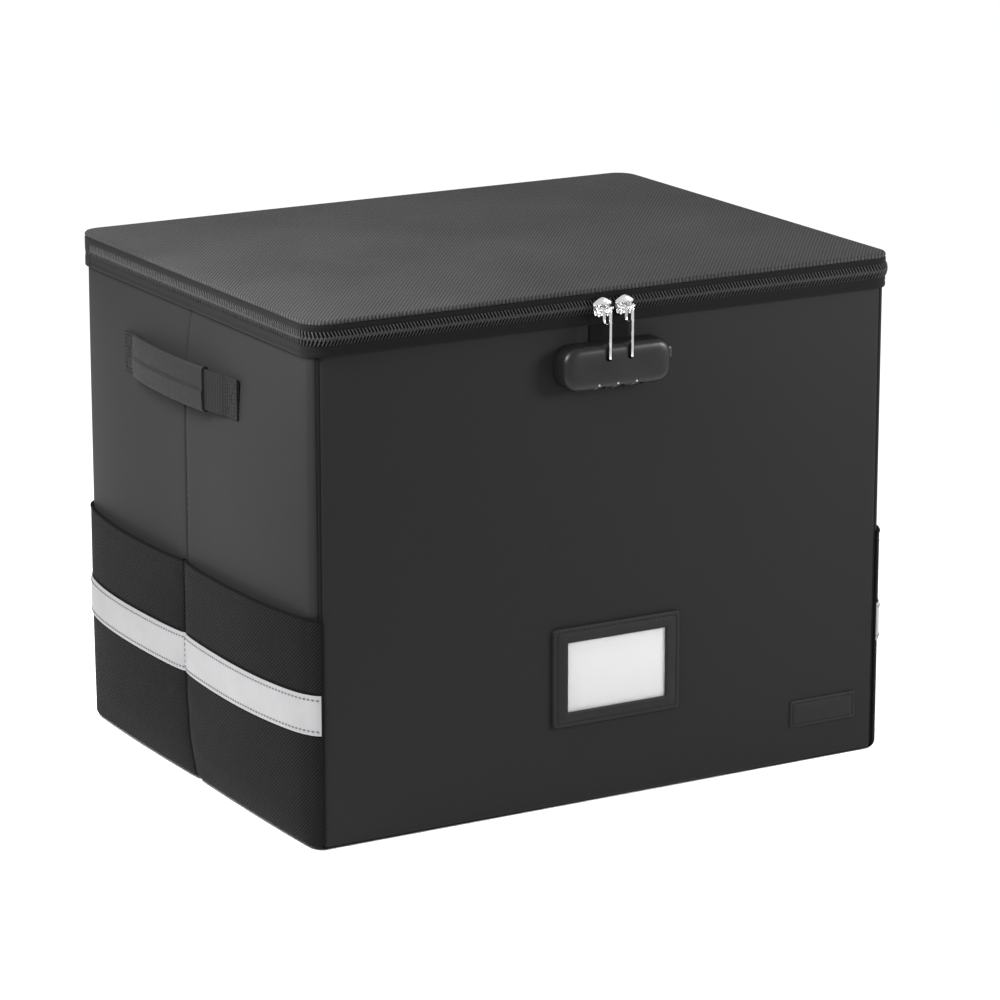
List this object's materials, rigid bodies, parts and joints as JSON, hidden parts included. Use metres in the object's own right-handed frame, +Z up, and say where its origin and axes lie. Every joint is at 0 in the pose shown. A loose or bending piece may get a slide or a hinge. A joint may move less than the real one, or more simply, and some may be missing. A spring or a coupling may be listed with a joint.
{
  "type": "document box",
  "caption": "Soft-sided fireproof document box with a zipped flap lid, dial lock, side pockets with reflective strips, carrying handles and a label holder.",
  "frame": {"origin": "on the floor, under the middle of the box's underside", "axes": "+X along the front to the right, +Y from the front to the back, +Z up"},
  "size_m": [0.4302, 0.3321, 0.3203],
  "materials": {
    "coated_fabric": "matt black silicone-coated fibreglass cloth",
    "lid_fabric": "dark grey coated twill",
    "pocket_fabric": "black diagonal twill",
    "fire_board": "grey mineral fibre board",
    "insulation_pad": "off-white needled felt",
    "foil_lining": "foil-faced fibreglass cloth",
    "zip_tape": "black woven tape",
    "zip_coil": "dark nylon coil",
    "webbing": "black ribbed webbing",
    "grained_trim": "black grained coated trim",
    "reflective_tape": "silver-grey retroreflective tape",
    "clear_film": "clear film",
    "card_stock": "white card",
    "lock_plastic": "satin black",
    "dial_plastic": "black",
    "plated_steel": "bright nickel plate"
  },
  "bodies": {
    "box": {"floor_skin": "coated_fabric", "floor_board": "fire_board", "floor_liner": "foil_lining", "front_skin": "coated_fabric", "back_skin": "coated_fabric", "left_skin": "coated_fabric", "right_skin": "coated_fabric", "front_board": "fire_board", "back_board": "fire_board", "left_board_front": "fire_board", "left_board_rear": "fire_board", "right_board_front": "fire_board", "right_board_rear": "fire_board", "front_liner": "foil_lining", "back_liner": "foil_lining", "left_liner": "foil_lining", "right_liner": "foil_lining", "rim_binding": "zip_tape", "lower_zip_tape": "zip_tape", "lower_zip_coil": "zip_coil", "hinge_tape_lower": "zip_tape", "left_handle_strap": "webbing", "left_handle_sleeve": "grained_trim", "right_handle_strap": "webbing", "right_handle_sleeve": "grained_trim", "left_pocket_front": "pocket_fabric", "left_pocket_rear": "pocket_fabric", "right_pocket_front": "pocket_fabric", "right_pocket_rear": "pocket_fabric", "left_reflective_strip": "reflective_tape", "right_reflective_strip": "reflective_tape", "label_frame": "grained_trim", "label_window": "clear_film", "blank_patch": "grained_trim", "lock_case": "lock_plastic", "lock_back_plate": "plated_steel", "dial_axle": "plated_steel"},
    "lid": {"lid_skin": "lid_fabric", "lid_board": "fire_board", "lid_pad": "insulation_pad", "lid_liner": "foil_lining", "upper_zip_tape": "zip_tape", "upper_zip_coil": "zip_coil", "hinge_tape_upper": "zip_tape"},
    "base_board": {"base_board": "fire_board"},
    "card": {"label_card": "card_stock"},
    "slider_left": {"slider_left": "plated_steel"},
    "slider_right": {"slider_right": "plated_steel"},
    "pull_left": {"pull_left": "plated_steel"},
    "pull_right": {"pull_right": "plated_steel"},
    "dial_left": {"dial_left": "dial_plastic"},
    "dial_middle": {"dial_middle": "dial_plastic"},
    "dial_right": {"dial_right": "dial_plastic"},
    "latch": {"latch_bar": "plated_steel", "release_button": "dial_plastic"}
  },
  "joints": [
    {"name": "lid_hinge", "type": "hinge", "parent": "box", "child": "lid", "pos_m": [0, 0.16, 0.3065], "axis": [-1, 0, 0], "range_deg": [0, 180]},
    {"name": "left_slider_run", "type": "slide", "parent": "box", "child": "slider_left", "axis": [-1, 0, 0], "range_m": [0, 0.165]},
    {"name": "right_slider_run", "type": "slide", "parent": "box", "child": "slider_right", "axis": [1, 0, 0], "range_m": [0, 0.165]},
    {"name": "left_pull_swing", "type": "hinge", "parent": "slider_left", "child": "pull_left", "pos_m": [-0.0096, -0.1672, 0.309], "axis": [-1, 0, 0], "range_deg": [0, 98]},
    {"name": "right_pull_swing", "type": "hinge", "parent": "slider_right", "child": "pull_right", "pos_m": [0.0056, -0.1672, 0.309], "axis": [-1, 0, 0], "range_deg": [0, 98]},
    {"name": "left_dial_spin", "type": "hinge", "parent": "box", "child": "dial_left", "pos_m": [-0.016, -0.1636, 0.2662], "axis": [1, 0, 0], "continuous": true},
    {"name": "middle_dial_spin", "type": "hinge", "parent": "box", "child": "dial_middle", "pos_m": [-0.003, -0.1636, 0.2662], "axis": [1, 0, 0], "continuous": true},
    {"name": "right_dial_spin", "type": "hinge", "parent": "box", "child": "dial_right", "pos_m": [0.01, -0.1636, 0.2662], "axis": [1, 0, 0], "continuous": true},
    {"name": "release_press", "type": "slide", "parent": "box", "child": "latch", "axis": [-1, 0, 0], "range_m": [0, 0.003], "stiffness_N_per_m": 150},
    {"name": "card_slide", "type": "slide", "parent": "box", "child": "card", "axis": [0, 0, 1], "range_m": [0, 0.056]},
    {"name": "base_board_lift", "type": "slide", "parent": "box", "child": "base_board", "axis": [0, 0, 1], "range_m": [0, 0.28]}
  ]
}
